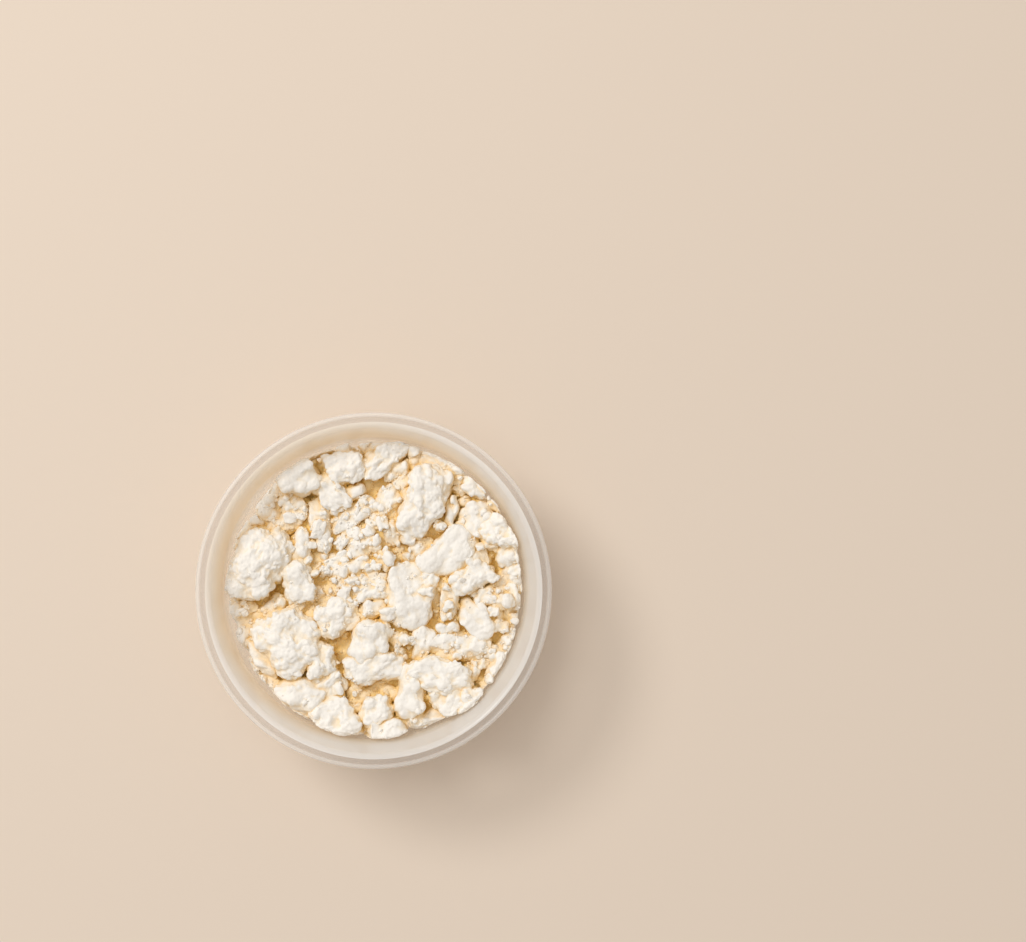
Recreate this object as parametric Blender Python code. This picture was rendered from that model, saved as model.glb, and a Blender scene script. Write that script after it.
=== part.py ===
"""An open round tub of milky plastic, part filled with crumbled fresh goat cheese.

Metres, +Z up. The origin is the middle of the foot that the tub stands on.
"""

import math
import random

import bmesh
import bpy
from mathutils import Matrix, Vector, noise

MM = 0.001

# Driving dimensions of the tub
RIM_RADIUS = 58.5 * MM
TUB_HEIGHT = 43.0 * MM
WALL = 0.8 * MM
WALL_LEAN = 0.265  # radius gained for each unit of height
BEAD_RADIUS = 0.8 * MM
GROOVE_DEPTH = 1.7 * MM
SKIRT_DROP = 4.5 * MM
MOUTH_FILLET = 2.0 * MM
MOUTH_RADIUS = RIM_RADIUS - 3.13 * MM  # where the flange turns down into the tub
FLOOR_FILLET = 4.0 * MM
FLOOR_THICKNESS = 1.0 * MM
FOOT_FILLET = 3.0 * MM
FOOT_WIDTH = 2.6 * MM
FOOT_RISE = 0.8 * MM
TUB_SEGMENTS = 60
TUB_CREASE = math.radians(35)

# Driving dimensions of the cheese
CLEARANCE = 0.3 * MM
BED_EDGE_HEIGHT = 21.0 * MM
BED_MIDDLE_HEIGHT = 22.5 * MM
BED_RELIEF = 2.2 * MM
BED_LUMP = 4.5 * MM
BED_OVERLAP = 2.0 * MM
MOULD_TOP = 38.0 * MM
BED_RINGS = 11
BED_SEGMENTS = 60
FILL_COUNT = 112
FILL_SIZES = (3.8 * MM, 7.0 * MM)
FILL_SPACING = 4.5 * MM
FILL_RISE = (1.8 * MM, 5.0 * MM)
FILL_WIDTH = 0.8  # width of a filling crumble for each unit of its length
FILL_SEED = 11
COVER = 0.36  # part of a large crumble's half size that hides a filling crumble
FLATNESS = 0.85  # height of a crumble for each unit of its width
BURIED_DEPTH = 2.0 * MM  # least depth that a crumble sinks into the bed
VOXEL = 0.7 * MM
CHEESE_TRIANGLES = 10200
CHEESE_CREASE = math.radians(50)

# Surface character of a crumble: depth of its broad lobes, depth of its knobs, flat broken sides
KNOBBLY, SMOOTH, BROKEN = (0.34, 0.30, 0), (0.26, 0.08, 1), (0.14, 0.05, 4)
LOBES_ACROSS = 1.25
KNOBS_ACROSS = 2.8
BREAK_DEPTH = 0.72  # a broken side is flat from this part of the half width outwards
BREAK_FLATNESS = 0.9
BREAK_TURN = 2.4  # radians from one broken side to the next
NOISE_STEP = Vector((3.7, 1.9, 0.6))  # moves each crumble to its own part of the noise

# The large crumbles, in millimetres and degrees: x, y, length, width, turn, height of the top, character
CRUMBLES = (
    (-39.5, 8.5, 24.0, 17.0, 42, 32.5, KNOBBLY),
    (-47.5, 1.0, 8.0, 6.0, 150, 27.5, KNOBBLY),
    (-24.5, 14.0, 12.0, 7.0, 85, 29.0, SMOOTH),
    (-25.5, 2.5, 13.0, 9.5, 100, 31.0, KNOBBLY),
    (-26.5, 38.5, 13.5, 12.0, 10, 31.0, BROKEN),
    (-14.5, 32.0, 12.0, 9.0, 120, 28.5, KNOBBLY),
    (-10.0, 41.0, 11.5, 10.0, 15, 28.5, KNOBBLY),
    (-35.0, 25.5, 12.0, 8.5, 75, 24.5, SMOOTH),
    (-27.5, 25.0, 12.0, 8.0, 60, 26.0, KNOBBLY),
    (-18.0, 21.0, 16.0, 7.0, 100, 28.0, KNOBBLY),
    (-7.5, 25.0, 14.5, 6.5, 36, 28.0, SMOOTH),
    (-5.0, 14.5, 10.0, 8.0, 60, 26.5, KNOBBLY),
    (-5.5, 7.5, 8.5, 6.0, 30, 27.0, SMOOTH),
    (-15.5, 8.5, 10.0, 7.0, 170, 24.5, SMOOTH),
    (4.0, 45.0, 17.0, 9.0, 38, 28.5, KNOBBLY),
    (22.5, 42.0, 14.5, 8.5, 155, 28.0, KNOBBLY),
    (33.5, 35.0, 9.0, 8.5, 60, 28.0, KNOBBLY),
    (16.0, 29.0, 22.0, 13.0, 68, 33.0, KNOBBLY),
    (25.0, 25.5, 8.5, 4.5, 80, 27.0, SMOOTH),
    (34.0, 23.5, 11.5, 10.0, 50, 28.5, SMOOTH),
    (42.0, 19.0, 14.0, 10.0, 160, 31.0, KNOBBLY),
    (45.0, 11.5, 9.0, 6.5, 20, 28.5, KNOBBLY),
    (23.0, 11.5, 18.0, 10.0, 38, 27.5, BROKEN),
    (34.5, 10.5, 9.0, 7.0, 80, 29.0, SMOOTH),
    (32.0, 4.0, 14.5, 8.5, 22, 30.0, KNOBBLY),
    (44.0, 3.0, 10.0, 8.5, 30, 26.5, SMOOTH),
    (10.5, -1.0, 20.0, 12.5, 82, 29.5, SMOOTH),
    (-1.0, 0.5, 10.5, 9.0, 10, 27.5, KNOBBLY),
    (4.5, 29.5, 10.0, 8.0, 40, 27.0, KNOBBLY),
    (6.5, 19.5, 9.5, 7.5, 75, 27.0, KNOBBLY),
    (33.5, -9.5, 13.0, 8.5, 130, 28.5, SMOOTH),
    (43.5, -2.5, 9.0, 7.5, 20, 27.5, KNOBBLY),
    (24.5, -4.0, 11.0, 6.5, 85, 27.0, KNOBBLY),
    (29.0, -18.5, 16.5, 9.0, 10, 28.5, KNOBBLY),
    (15.5, -18.0, 10.0, 7.0, 70, 27.0, SMOOTH),
    (21.5, -28.5, 19.0, 11.0, 172, 33.0, KNOBBLY),
    (12.0, -34.0, 15.0, 9.5, 78, 31.0, SMOOTH),
    (25.0, -37.0, 14.0, 9.5, 160, 31.5, KNOBBLY),
    (32.0, -38.5, 11.5, 9.0, 95, 32.0, KNOBBLY),
    (19.0, -43.0, 11.5, 6.0, 12, 27.0, SMOOTH),
    (41.0, -26.5, 11.0, 7.5, 60, 28.0, KNOBBLY),
    (0.5, -40.5, 10.5, 10.0, 30, 30.5, KNOBBLY),
    (3.0, -47.0, 13.0, 8.0, 10, 30.5, BROKEN),
    (-1.5, -17.0, 14.0, 11.0, 62, 32.0, SMOOTH),
    (0.0, -26.0, 18.0, 9.5, 6, 30.5, KNOBBLY),
    (-12.5, -9.0, 13.5, 11.5, 15, 30.0, KNOBBLY),
    (-28.0, -17.0, 20.0, 17.5, 125, 32.5, KNOBBLY),
    (-37.0, -22.5, 13.0, 8.5, 135, 28.0, SMOOTH),
    (-18.0, -23.5, 11.0, 9.5, 100, 31.0, KNOBBLY),
    (-25.0, -34.5, 14.5, 9.5, 170, 31.0, SMOOTH),
    (-15.5, -33.0, 12.5, 8.0, 35, 27.5, SMOOTH),
    (-13.0, -43.0, 13.5, 12.5, 120, 31.0, KNOBBLY),
    (-7.5, -46.5, 8.0, 6.5, 80, 27.5, SMOOTH),
    (-32.5, -5.5, 8.5, 7.0, 60, 27.0, KNOBBLY),
    (-42.5, -13.5, 10.0, 8.0, 100, 24.0, SMOOTH),
)

FLANGE_HEIGHT = TUB_HEIGHT - GROOVE_DEPTH
SLANT = math.hypot(1.0, WALL_LEAN)
LEAN_ANGLE = math.degrees(math.atan(WALL_LEAN))
FLOOR_HEIGHT = FOOT_RISE + FLOOR_THICKNESS
WALL_FOOT_RADIUS = (
    MOUTH_RADIUS - MOUTH_FILLET * SLANT - WALL_LEAN * (FLANGE_HEIGHT - MOUTH_FILLET)
)


def clear_scene():
    for obj in list(bpy.data.objects):
        bpy.data.objects.remove(obj)


def make_material(name, colour, roughness, transmission=0.0, subsurface=0.0):
    material = bpy.data.materials.new(name)
    material.use_nodes = True
    shader = material.node_tree.nodes["Principled BSDF"]
    shader.inputs["Base Color"].default_value = (*colour, 1.0)
    shader.inputs["Roughness"].default_value = roughness
    shader.inputs["Metallic"].default_value = 0.0
    shader.inputs["Transmission Weight"].default_value = transmission
    shader.inputs["Subsurface Weight"].default_value = subsurface
    return material


def arc(centre, radius, start, end, steps):
    """Points on a circle in the (radius, height) plane, from one angle to another in degrees."""
    angles = (math.radians(start + (end - start) * i / steps) for i in range(steps + 1))
    return [(centre[0] + radius * math.cos(a), centre[1] + radius * math.sin(a)) for a in angles]


def wall_radius(height, inset=0.0):
    """Radius of the tub's inner wall at a height, less an inset square to the wall."""
    return WALL_FOOT_RADIUS + WALL_LEAN * height - inset * SLANT


def floor_corner(fillet, rise, inset=0.0):
    """Centre of a rounding that touches a floor at height rise and the wall, inset from it."""
    height = rise + fillet
    return wall_radius(height, inset + fillet), height


def turned(name, outline, segments):
    """A solid turned about Z. The outline is (radius, height) points that start and end on the axis."""
    bm = bmesh.new()
    corners = [bm.verts.new((radius, 0.0, height)) for radius, height in outline]
    edges = [bm.edges.new(pair) for pair in zip(corners, corners[1:])]
    bmesh.ops.spin(
        bm,
        geom=corners + edges,
        cent=(0, 0, 0),
        axis=(0, 0, 1),
        angle=2 * math.pi,
        steps=segments,
        use_merge=True,
        use_duplicate=False,
    )
    bmesh.ops.remove_doubles(bm, verts=bm.verts, dist=0.01 * MM)
    bmesh.ops.recalc_face_normals(bm, faces=bm.faces)
    return add_object(name, bm)


def add_object(name, bm, collection=None):
    mesh = bpy.data.meshes.new(name)
    bm.to_mesh(mesh)
    bm.free()
    obj = bpy.data.objects.new(name, mesh)
    (collection or bpy.context.scene.collection).objects.link(obj)
    return obj


def make_tub():
    """The tub: tapered wall, rounded floor, foot ring, and a rim of flange, groove, bead and skirt."""
    skirt_radius = RIM_RADIUS - 2 * BEAD_RADIUS + WALL
    flange_underside = FLANGE_HEIGHT - WALL
    skirt_end = TUB_HEIGHT - SKIRT_DROP
    foot_corner = floor_corner(FOOT_FILLET, 0.0, -WALL)
    mouth_corner = (MOUTH_RADIUS, FLANGE_HEIGHT - MOUTH_FILLET)
    bead_centre = (RIM_RADIUS - BEAD_RADIUS, TUB_HEIGHT - BEAD_RADIUS)
    outline = [(0.0, FLOOR_HEIGHT)]
    outline += arc(floor_corner(FLOOR_FILLET, FLOOR_HEIGHT), FLOOR_FILLET, -90, -LEAN_ANGLE, 4)
    outline += arc(mouth_corner, MOUTH_FILLET, 180 - LEAN_ANGLE, 90, 4)
    outline += [(RIM_RADIUS - 2 * BEAD_RADIUS, FLANGE_HEIGHT)]
    outline += arc(bead_centre, BEAD_RADIUS, 180, 0, 6)
    outline += [(RIM_RADIUS, skirt_end), (skirt_radius, skirt_end)]
    outline += [(skirt_radius, flange_underside)]
    outline += arc(mouth_corner, MOUTH_FILLET - WALL, 90, 180 - LEAN_ANGLE, 2)
    outline += arc(foot_corner, FOOT_FILLET, -LEAN_ANGLE, -90, 3)
    outline += [(foot_corner[0] - FOOT_WIDTH, 0.0)]
    outline += [(foot_corner[0] - FOOT_WIDTH - FOOT_RISE / 2, FOOT_RISE), (0.0, FOOT_RISE)]
    tub = turned("tub", outline, TUB_SEGMENTS)
    tub.data.shade_smooth()
    tub.data.set_sharp_from_angle(angle=TUB_CREASE)
    return tub


def bed_height(x, y):
    """Height of the packed bed that the large crumbles lie in."""
    away = min(1.0, math.hypot(x, y) / wall_radius(BED_EDGE_HEIGHT))
    mound = BED_MIDDLE_HEIGHT - (BED_MIDDLE_HEIGHT - BED_EDGE_HEIGHT) * away**2
    return mound + BED_RELIEF * noise.noise(Vector((x, y, 0.0)) / BED_LUMP)


def make_bed():
    """The packed cheese below the crumbles, wider than the tub until the mould trims it."""
    edge_radius = wall_radius(BED_EDGE_HEIGHT, -BED_OVERLAP)
    outline = [(0.0, 0.0), (edge_radius, 0.0)]
    rings = [edge_radius * (1 - i / BED_RINGS) for i in range(BED_RINGS + 1)]
    outline += [(radius, BED_EDGE_HEIGHT) for radius in rings]
    bed = turned("crumbles", outline, BED_SEGMENTS)
    for vertex in bed.data.vertices:
        if vertex.co.z > 0.0:
            vertex.co.z = bed_height(vertex.co.x, vertex.co.y)
    return bed


def make_mould():
    """The space inside the tub, less the clearance, that gives the packed cheese its sides and foot."""
    corner = floor_corner(FLOOR_FILLET, FLOOR_HEIGHT)
    outline = [(0.0, FLOOR_HEIGHT + CLEARANCE)]
    outline += arc(corner, FLOOR_FILLET - CLEARANCE, -90, -LEAN_ANGLE, 3)
    outline += [(wall_radius(MOULD_TOP, CLEARANCE), MOULD_TOP), (0.0, MOULD_TOP)]
    return turned("mould", outline, TUB_SEGMENTS)


def shape_crumble(point, character, offset):
    """Moves a point of a unit ball onto a crumble's surface: lobes, knobs, then flat broken sides."""
    lobes, knobs, flats = character
    swell = lobes * noise.noise(point * LOBES_ACROSS + offset)
    swell += knobs * noise.noise(point * KNOBS_ACROSS + offset)
    shaped = point * (1.0 + swell)
    for side in range(flats):
        facing = flat_side(offset, side)
        shaped -= facing * BREAK_FLATNESS * max(0.0, shaped.dot(facing) - BREAK_DEPTH)
    return shaped


def flat_side(offset, side):
    """Direction that one of a crumble's broken sides faces, always partly upwards."""
    turn = offset.x + side * BREAK_TURN
    upwards = 1.0 if side % 2 else 0.5
    return Vector((math.cos(turn), math.sin(turn), upwards)).normalized()


def make_crumble(index, x, y, length, width, turn, top, character, collection, detail=3):
    """One crumble as a lumpy ball. Sizes in metres, turn in degrees."""
    height = max(FLATNESS * width, top - bed_height(x, y) + BURIED_DEPTH)
    centre = Vector((x, y, top - 0.5 * height))
    placed = (
        Matrix.Translation(centre)
        @ Matrix.Rotation(math.radians(turn), 4, "Z")
        @ Matrix.Diagonal((0.5 * length, 0.5 * width, 0.5 * height, 1.0))
    )
    offset = index * NOISE_STEP
    bm = bmesh.new()
    bmesh.ops.create_icosphere(bm, subdivisions=detail, radius=1.0)
    for vertex in bm.verts:
        vertex.co = placed @ shape_crumble(vertex.co, character, offset)
    return add_object(f"crumble_{index}", bm, collection)


def large_crumbles(collection):
    for index, (x, y, length, width, turn, top, character) in enumerate(CRUMBLES):
        make_crumble(
            index, x * MM, y * MM, length * MM, width * MM, turn, top * MM, character, collection
        )


def is_covered(x, y):
    """True where a large crumble already lies over the middle of a spot."""
    for cx, cy, length, width, _turn, _top, _character in CRUMBLES:
        if math.hypot(x - cx * MM, y - cy * MM) < COVER * 0.5 * (length + width) * MM:
            return True
    return False


def small_crumbles(collection):
    """Smaller crumbles that fill the gaps between the large ones, spread evenly by a seeded draw."""
    draw = random.Random(FILL_SEED)
    placed = []
    while len(placed) < FILL_COUNT:
        away = wall_radius(BED_EDGE_HEIGHT, 3 * CLEARANCE) * math.sqrt(draw.random())
        around = draw.uniform(0.0, 2 * math.pi)
        size = draw.uniform(*FILL_SIZES)
        turn = draw.uniform(0.0, 180.0)
        rise = draw.uniform(*FILL_RISE)
        x, y = away * math.cos(around), away * math.sin(around)
        crowded = any(math.hypot(x - a, y - b) < FILL_SPACING for a, b in placed)
        if crowded or is_covered(x, y):
            continue
        placed.append((x, y))
        index = len(CRUMBLES) + len(placed)
        character = KNOBBLY if index % 3 else SMOOTH
        top = bed_height(x, y) + rise
        width = FILL_WIDTH * size
        make_crumble(index, x, y, size, width, turn, top, character, collection, detail=2)


def fuse(base, collection, mould):
    """Joins the collection to the base by one union, trims it to the mould and evens out its faces.

    The exact solver finds nothing in the trim, so that one is left to the manifold solver.
    """
    union = base.modifiers.new("union", "BOOLEAN")
    union.operation = "UNION"
    union.operand_type = "COLLECTION"
    union.collection = collection
    union.solver = "EXACT"
    trim = base.modifiers.new("trim", "BOOLEAN")
    trim.operation = "INTERSECT"
    trim.object = mould
    trim.solver = "MANIFOLD"
    even = base.modifiers.new("even", "REMESH")
    even.mode = "VOXEL"
    even.voxel_size = VOXEL
    even.use_smooth_shade = True
    graph = bpy.context.evaluated_depsgraph_get()
    fused = bpy.data.meshes.new_from_object(base.evaluated_get(graph))
    base.modifiers.clear()
    base.data = fused
    for obj in [mould, *collection.objects]:
        bpy.data.objects.remove(obj)
    bpy.data.collections.remove(collection)


def keep_outer_skin(obj):
    """Keeps the largest closed surface: sealed hollows become solid and loose scraps are dropped."""
    bm = bmesh.new()
    bm.from_mesh(obj.data)
    bmesh.ops.triangulate(bm, faces=bm.faces)
    waiting = set(bm.faces)
    outer = set()
    while waiting:
        skin = set()
        reached = [waiting.pop()]
        while reached:
            face = reached.pop()
            skin.add(face)
            shared = [edge.link_faces for edge in face.edges if len(edge.link_faces) == 2]
            beside = {other for pair in shared for other in pair} & waiting
            waiting -= beside
            reached += beside
        outer = max(outer, skin, key=len)
    bmesh.ops.delete(bm, geom=[face for face in bm.faces if face not in outer], context="FACES")
    bm.to_mesh(obj.data)
    bm.free()


def thin_out(obj, most_triangles):
    """Collapses the shortest edges until the mesh has no more than this many triangles."""
    thin = obj.modifiers.new("thin out", "DECIMATE")
    thin.ratio = min(1.0, most_triangles / len(obj.data.polygons))


def make_cheese():
    """The heap of crumbled cheese, one solid out to its uneven outline."""
    collection = bpy.data.collections.new("crumbles to join")
    bpy.context.scene.collection.children.link(collection)
    bed = make_bed()
    large_crumbles(collection)
    small_crumbles(collection)
    mould = make_mould()
    bpy.context.view_layer.update()
    fuse(bed, collection, mould)
    keep_outer_skin(bed)
    thin_out(bed, CHEESE_TRIANGLES)
    bed.data.shade_smooth()
    bed.data.set_sharp_from_angle(angle=CHEESE_CREASE)
    return bed


def main():
    clear_scene()
    plastic = make_material("milky polypropylene", (0.90, 0.87, 0.83), 0.28, transmission=0.6)
    cheese = make_material("fresh goat cheese", (0.95, 0.92, 0.84), 0.62, subsurface=0.3)
    make_tub().data.materials.append(plastic)
    make_cheese().data.materials.append(cheese)


main()
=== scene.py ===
import math
import random

import bmesh
import bpy
import numpy as np
from mathutils import Euler, Matrix, Vector, noise
from mathutils.bvhtree import BVHTree


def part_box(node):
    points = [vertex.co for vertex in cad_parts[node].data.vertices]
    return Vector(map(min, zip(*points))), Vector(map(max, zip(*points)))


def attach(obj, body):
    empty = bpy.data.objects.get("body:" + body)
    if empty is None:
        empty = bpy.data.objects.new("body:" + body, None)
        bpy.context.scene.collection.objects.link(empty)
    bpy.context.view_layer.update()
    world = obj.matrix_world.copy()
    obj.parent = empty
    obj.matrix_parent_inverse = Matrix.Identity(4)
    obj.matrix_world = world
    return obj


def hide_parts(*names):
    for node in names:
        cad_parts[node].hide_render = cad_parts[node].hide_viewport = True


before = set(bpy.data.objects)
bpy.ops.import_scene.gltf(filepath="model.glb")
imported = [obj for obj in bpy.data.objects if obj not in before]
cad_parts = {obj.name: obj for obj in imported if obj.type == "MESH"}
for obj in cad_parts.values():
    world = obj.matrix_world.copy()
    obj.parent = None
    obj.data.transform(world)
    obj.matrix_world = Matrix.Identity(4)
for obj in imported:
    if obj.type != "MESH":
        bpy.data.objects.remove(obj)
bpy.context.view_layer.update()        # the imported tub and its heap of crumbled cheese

mm = 0.001
noiseSeed = 5
noise.seed_set(noiseSeed)       # noise_vector would otherwise follow the clock
scene = bpy.context.scene
tubLow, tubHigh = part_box("tub")
rimRadius = tubHigh.x
rimHeight = tubHigh.z


# Small helpers

def linearColour(hexCode):
    # sRGB hex to the linear values that sockets take
    channels = (int(hexCode[i:i + 2], 16) / 255 for i in (1, 3, 5))
    return (*(c / 12.92 if c <= 0.04045 else ((c + 0.055) / 1.055) ** 2.4 for c in channels), 1.0)


def addNode(tree, kind, values=None, links=None, **settings):
    node = tree.nodes.new(kind)
    for name, value in settings.items():
        setattr(node, name, value)
    for socket, value in (values or {}).items():
        node.inputs[socket].default_value = value
    for socket, source in (links or {}).items():
        tree.links.new(source, node.inputs[socket])
    return node


def setRamp(node, stops):
    elements = node.color_ramp.elements
    for _ in range(len(stops) - 2):
        elements.new(0.5)
    for element, (position, colour) in zip(elements, stops):
        element.position = position
        element.color = linearColour(colour)


def newMaterial(name):
    material = bpy.data.materials.new(name)
    material.use_nodes = True
    tree = material.node_tree
    tree.nodes.clear()
    output = tree.nodes.new("ShaderNodeOutputMaterial")
    shader = tree.nodes.new("ShaderNodeBsdfPrincipled")
    tree.links.new(shader.outputs["BSDF"], output.inputs["Surface"])
    return material, tree, shader


def newObject(name, mesh):
    obj = bpy.data.objects.new(name, mesh)
    scene.collection.objects.link(obj)
    return obj


def meshFromBmesh(name, bm):
    mesh = bpy.data.meshes.new(name)
    bm.to_mesh(mesh)
    bm.free()
    return mesh


def joinCopies(name, shapes, places):
    # one mesh of many copies: places is a list of (index of the shape, 4x4 matrix)
    corners, faces, start = [], [], 0
    for which, place in places:
        points, triangles = shapes[which]
        turned = points @ np.array(place.to_3x3()).T + np.array(place.translation)
        corners.append(turned)
        faces.append(triangles + start)
        start += len(points)
    corners, faces = np.concatenate(corners), np.concatenate(faces)
    mesh = bpy.data.meshes.new(name)
    mesh.vertices.add(len(corners))
    mesh.vertices.foreach_set("co", corners.ravel())
    mesh.loops.add(faces.size)
    mesh.loops.foreach_set("vertex_index", faces.ravel())
    mesh.polygons.add(len(faces))
    mesh.polygons.foreach_set("loop_start", np.arange(0, faces.size, 3))
    mesh.update(calc_edges=True)
    return mesh


def pointsOf(mesh):
    points = np.empty(len(mesh.vertices) * 3)
    mesh.vertices.foreach_get("co", points)
    return points.reshape(-1, 3)


def setPoints(mesh, points):
    mesh.vertices.foreach_set("co", points.ravel())
    mesh.update()


def trianglesOf(mesh):
    mesh.calc_loop_triangles()
    faces = np.empty(len(mesh.loop_triangles) * 3, int)
    mesh.loop_triangles.foreach_get("vertices", faces)
    return faces.reshape(-1, 3)


def asArrays(mesh):
    # a mesh as the point and face arrays that joinCopies takes
    return pointsOf(mesh), trianglesOf(mesh)


# Camera, floor and light

# the photograph's size and the middle of the tub's rim in it, in pixels
photo = {"width": 1026, "height": 942, "pixelsPerMetre": 3051.0, "tubX": 373.5, "tubY": 590.8}
camera = {"distance": 1.5, "sensor": 36.0}      # metres above the rim, and millimetres
stage = {"size": 4.0, "gap": 0.05 * mm, "colour": "#E9DACA", "roughness": 0.7, "specular": 0.2}
lights = {
    "key": {"from": (-0.93, 0.83, 1.38), "size": 0.60, "watts": 14.5, "colour": "#FFFEFC"},
    "top": {"from": (-0.30, 0.25, 1.75), "size": 1.00, "watts": 5.1, "colour": "#FFFEFC"},
}
sky = {"colour": "#FBF4ED", "horizon": 0.78, "above": 0.47, "fade": (0.12, 0.45)}


def makeCamera():
    lens = bpy.data.cameras.new("camera")
    lens.sensor_width = camera["sensor"]
    frameWidth = photo["width"] / photo["pixelsPerMetre"]
    lens.lens = camera["sensor"] * camera["distance"] / frameWidth
    eye = bpy.data.objects.new("camera", lens)
    eye.location = (
        (photo["width"] / 2 - photo["tubX"]) / photo["pixelsPerMetre"],
        (photo["tubY"] - photo["height"] / 2) / photo["pixelsPerMetre"],
        rimHeight + camera["distance"],
    )
    scene.collection.objects.link(eye)
    scene.camera = eye


def makeFloor():
    bm = bmesh.new()
    place = Matrix.Translation((0, 0, -stage["gap"]))
    bmesh.ops.create_grid(bm, x_segments=2, y_segments=2, size=stage["size"] / 2, matrix=place)
    floor = newObject("floor", meshFromBmesh("floor", bm))
    # painted board: matt, plain and pale
    material, tree, shader = newMaterial("paintedBoard")
    shader.inputs["Base Color"].default_value = linearColour(stage["colour"])
    shader.inputs["Roughness"].default_value = stage["roughness"]
    shader.inputs["Specular IOR Level"].default_value = stage["specular"]
    floor.data.materials.append(material)


def makeLights():
    for name, values in lights.items():
        lamp = bpy.data.lights.new(name, "AREA")
        lamp.shape = "DISK"
        lamp.size = values["size"]
        lamp.energy = values["watts"]
        lamp.color = linearColour(values["colour"])[:3]
        obj = bpy.data.objects.new(name, lamp)
        obj.location = values["from"]
        obj.rotation_euler = (-Vector(values["from"])).to_track_quat("-Z", "Y").to_euler()
        scene.collection.objects.link(obj)
    world = bpy.data.worlds.new("studio")
    world.use_nodes = True
    tree = world.node_tree
    background = tree.nodes["Background"]
    background.inputs["Color"].default_value = linearColour(sky["colour"])
    # a studio sweep: brighter at the horizon than above
    where = addNode(tree, "ShaderNodeTexCoord").outputs["Generated"]
    height = addNode(tree, "ShaderNodeSeparateXYZ", {}, {0: where})
    low, high = sky["fade"]
    strength = addNode(
        tree, "ShaderNodeMapRange",
        {"From Min": low, "From Max": high, "To Min": sky["horizon"], "To Max": sky["above"]},
        {"Value": height.outputs["Z"]},
    )
    tree.links.new(strength.outputs["Result"], background.inputs["Strength"])
    scene.world = world
    scene.view_settings.view_transform = "Standard"


makeCamera()
makeFloor()
makeLights()
print("camera, floor and lights are set")


# The tub: one turned wall from the foot ring to the beaded rim

tub = {
    "wall": 0.8 * mm,
    "lean": 0.265,              # radius gained for each unit of height
    "beadRadius": 0.8 * mm,
    "grooveDepth": 1.7 * mm,
    "skirtDrop": 4.5 * mm,
    "skirtRound": 0.3 * mm,
    "mouthFillet": 2.0 * mm,
    "mouthInset": 3.13 * mm,
    "floorFillet": 4.0 * mm,
    "floorThickness": 1.0 * mm,
    "footFillet": 3.0 * mm,
    "footWidth": 2.6 * mm,
    "footRise": 0.8 * mm,
    "gateRadius": 1.6 * mm,     # the small nub where the plastic was fed into the mould
    "gateDrop": 0.35 * mm,
    "smallRound": 0.25 * mm,    # corners of the groove, the skirt, the foot and the nub
    "segments": 256,
    "sharpFrom": 40,            # degrees between faces
}
plastic = {
    "colour": "#FCFAF6",
    # painted shade: the flange is given a greyer, darker colour than the plastic, for the shadowed floor
    # seen through it
    "flangeShadeColour": "#CDC4BD",
    "flow": 9 * mm,
    "flowRelief": 0.15 * mm,
    "roughness": (0.14, 0.24),
    "ior": 1.49,
    "scattered": 0.15,
    "scatterReach": 1.0 * mm,
    "footTop": (1 * mm, 6 * mm),
    "outsideAlpha": (0.75, 0.26),       # at the bottom and at the top of footTop
    "wettedTop": (20 * mm, 30 * mm),
    "insideAlpha": (0.05, 0.54),        # at the bottom and at the top of wettedTop
    "flangeAlpha": 0.22,
    "beadAlpha": 0.26,
    # painted light and shade on the inner wall: a warm tint just above the cheese, for its bounce light,
    # stronger on the side away from the key light
    "bounceTintHeight": (18 * mm, 38 * mm),
    "bounceTintTilt": (0.11, -0.11, 1.0),     # the painted tint reaches higher on the side turned from the key light
    "bounceTint": ((0.0, "#FCF7EC"), (0.25, "#FBE0B4"), (0.45, "#FBE3BC"), (1.0, "#FCFAF6")),
}
slant = math.hypot(1.0, tub["lean"])
leanAngle = math.degrees(math.atan(tub["lean"]))
mouthRadius = rimRadius - tub["mouthInset"]
flangeHeight = rimHeight - tub["grooveDepth"]
floorHeight = tub["footRise"] + tub["floorThickness"]
wallFootRadius = mouthRadius - tub["mouthFillet"] * slant - tub["lean"] * (flangeHeight - tub["mouthFillet"])


def arc(centre, radius, start, end, steps):
    angles = (math.radians(start + (end - start) * i / steps) for i in range(steps + 1))
    return [(centre[0] + radius * math.cos(a), centre[1] + radius * math.sin(a)) for a in angles]


def wallRadius(height, inset=0.0):
    return wallFootRadius + tub["lean"] * height - inset * slant


def floorCorner(fillet, rise, inset=0.0):
    height = rise + fillet
    return wallRadius(height, inset + fillet), height


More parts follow.
